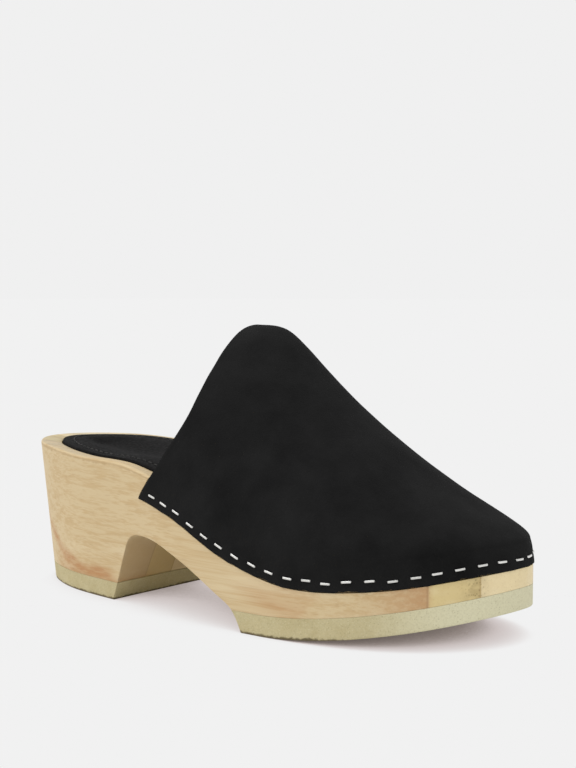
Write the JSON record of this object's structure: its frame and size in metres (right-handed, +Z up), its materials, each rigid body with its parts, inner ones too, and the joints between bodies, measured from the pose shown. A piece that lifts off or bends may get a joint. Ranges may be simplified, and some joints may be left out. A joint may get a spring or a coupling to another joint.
{
  "type": "clog",
  "caption": "Heeled wooden clog for the right foot: suede vamp stapled round a one-piece wooden sole, rubber tread and heel lift, leather sock, open back.",
  "frame": {"origin": "centre of the footprint's bounding box, on the floor", "axes": "+X from heel to toe, +Y to the inner side of the foot, +Z up"},
  "size_m": [0.251, 0.095, 0.1175],
  "materials": {
    "wood": "fine sanded, pale, clear matt",
    "rubber": "speckled crepe, matt",
    "suede": "suede, matt",
    "sock_leather": "smooth, low sheen",
    "staple_steel": "bright wire"
  },
  "bodies": {
    "root": {"wooden_base": "wood", "heel_lift": "rubber", "forefoot_tread": "rubber", "insole": "sock_leather", "upper": "suede", "staple_01": "staple_steel", "staple_02": "staple_steel", "staple_03": "staple_steel", "staple_04": "staple_steel", "staple_05": "staple_steel", "staple_06": "staple_steel", "staple_07": "staple_steel", "staple_08": "staple_steel", "staple_09": "staple_steel", "staple_10": "staple_steel", "staple_11": "staple_steel", "staple_12": "staple_steel", "staple_13": "staple_steel", "staple_14": "staple_steel", "staple_15": "staple_steel", "staple_16": "staple_steel", "staple_17": "staple_steel", "staple_18": "staple_steel", "staple_19": "staple_steel", "staple_20": "staple_steel", "staple_21": "staple_steel", "staple_22": "staple_steel", "staple_23": "staple_steel", "staple_24": "staple_steel", "staple_25": "staple_steel", "staple_26": "staple_steel", "staple_27": "staple_steel", "staple_28": "staple_steel", "staple_29": "staple_steel", "staple_30": "staple_steel", "staple_31": "staple_steel", "staple_32": "staple_steel", "staple_33": "staple_steel", "staple_34": "staple_steel", "staple_35": "staple_steel", "staple_36": "staple_steel", "staple_37": "staple_steel", "staple_38": "staple_steel", "staple_39": "staple_steel", "staple_40": "staple_steel", "staple_41": "staple_steel"}
  },
  "joints": []
}
